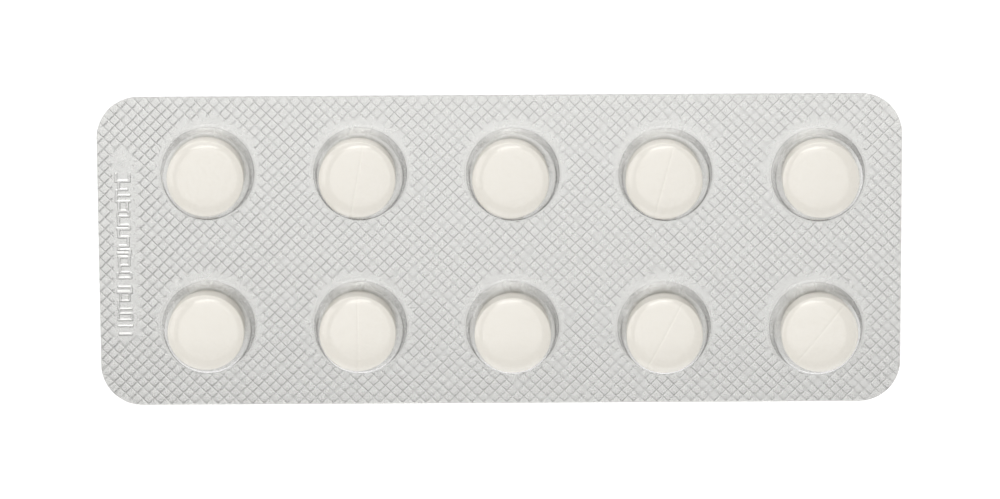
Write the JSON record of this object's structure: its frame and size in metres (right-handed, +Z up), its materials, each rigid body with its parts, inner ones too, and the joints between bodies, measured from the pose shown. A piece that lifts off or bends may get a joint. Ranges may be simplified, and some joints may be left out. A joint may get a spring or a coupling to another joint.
{
  "type": "pill blister pack",
  "caption": "Clear film card with two rows of round pockets, each holding a loose tablet, sealed underneath with a silver foil.",
  "frame": {"origin": "centre of the card's outline on the foil's underside, where the card rests", "axes": "+X along the card's length, away from the wide margin with the plain code strip; +Y across the card; +Z up out of the foil through the pockets"},
  "size_m": [0.096, 0.0376, 0.0047],
  "materials": {
    "clear_film": "clear glossy rigid PVC film",
    "foil": "satin hard aluminium foil with a fine diamond sealing pattern",
    "tablet": "matt pressed powder, warm white"
  },
  "bodies": {
    "root": {"forming_film": "clear_film", "lidding_foil": "foil", "tablet_1": "tablet", "tablet_2": "tablet", "tablet_3": "tablet", "tablet_4": "tablet", "tablet_5": "tablet", "tablet_6": "tablet", "tablet_7": "tablet", "tablet_8": "tablet", "tablet_9": "tablet", "tablet_10": "tablet"}
  },
  "joints": []
}
